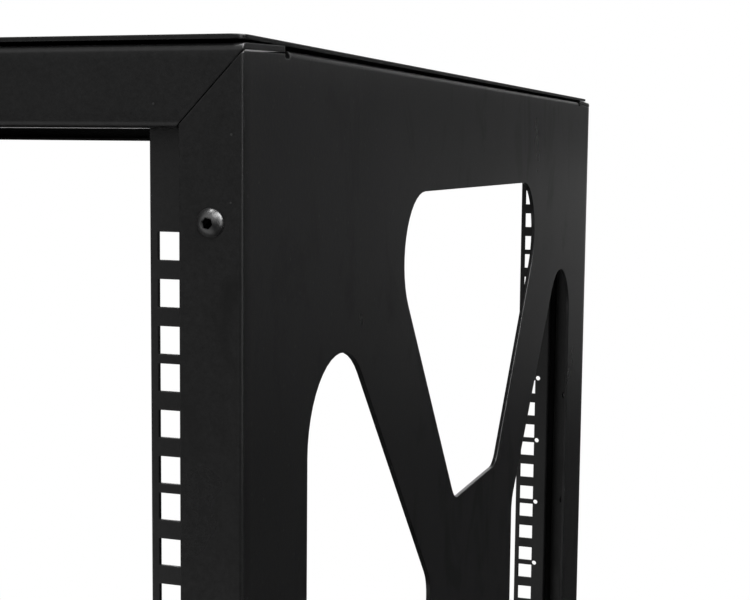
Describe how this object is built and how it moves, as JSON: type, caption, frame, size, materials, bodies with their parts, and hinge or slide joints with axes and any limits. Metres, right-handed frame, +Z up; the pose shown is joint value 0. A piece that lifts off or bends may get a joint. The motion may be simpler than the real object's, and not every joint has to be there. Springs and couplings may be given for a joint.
{
  "type": "wall-mount open frame rack",
  "caption": "Open frame rack of folded black steel sheet that bolts to a wall, with braced window cut-outs in its sides and square-hole rails for 19 inch equipment.",
  "frame": {"origin": "centre of the footprint, on the underside of the bottom plate", "axes": "+X to the right seen from the front, +Y from the open front towards the wall, +Z up"},
  "size_m": [0.534, 0.599, 0.657],
  "materials": {
    "frame_coat": "fine satin black powder coat on folded steel sheet",
    "rail_coat": "fine satin black powder coat on punched steel rails",
    "screw_black": "glossy black coated button head screws with hex sockets"
  },
  "bodies": {
    "root": {"right_side_panel": "frame_coat", "left_side_panel": "frame_coat", "front_top_header": "frame_coat", "front_bottom_header": "frame_coat", "rear_top_header": "frame_coat", "rear_bottom_header": "frame_coat", "top_plate": "frame_coat", "bottom_plate": "frame_coat", "front_right_rail": "rail_coat", "front_left_rail": "rail_coat", "rear_right_rail": "rail_coat", "rear_left_rail": "rail_coat"}
  },
  "joints": []
}
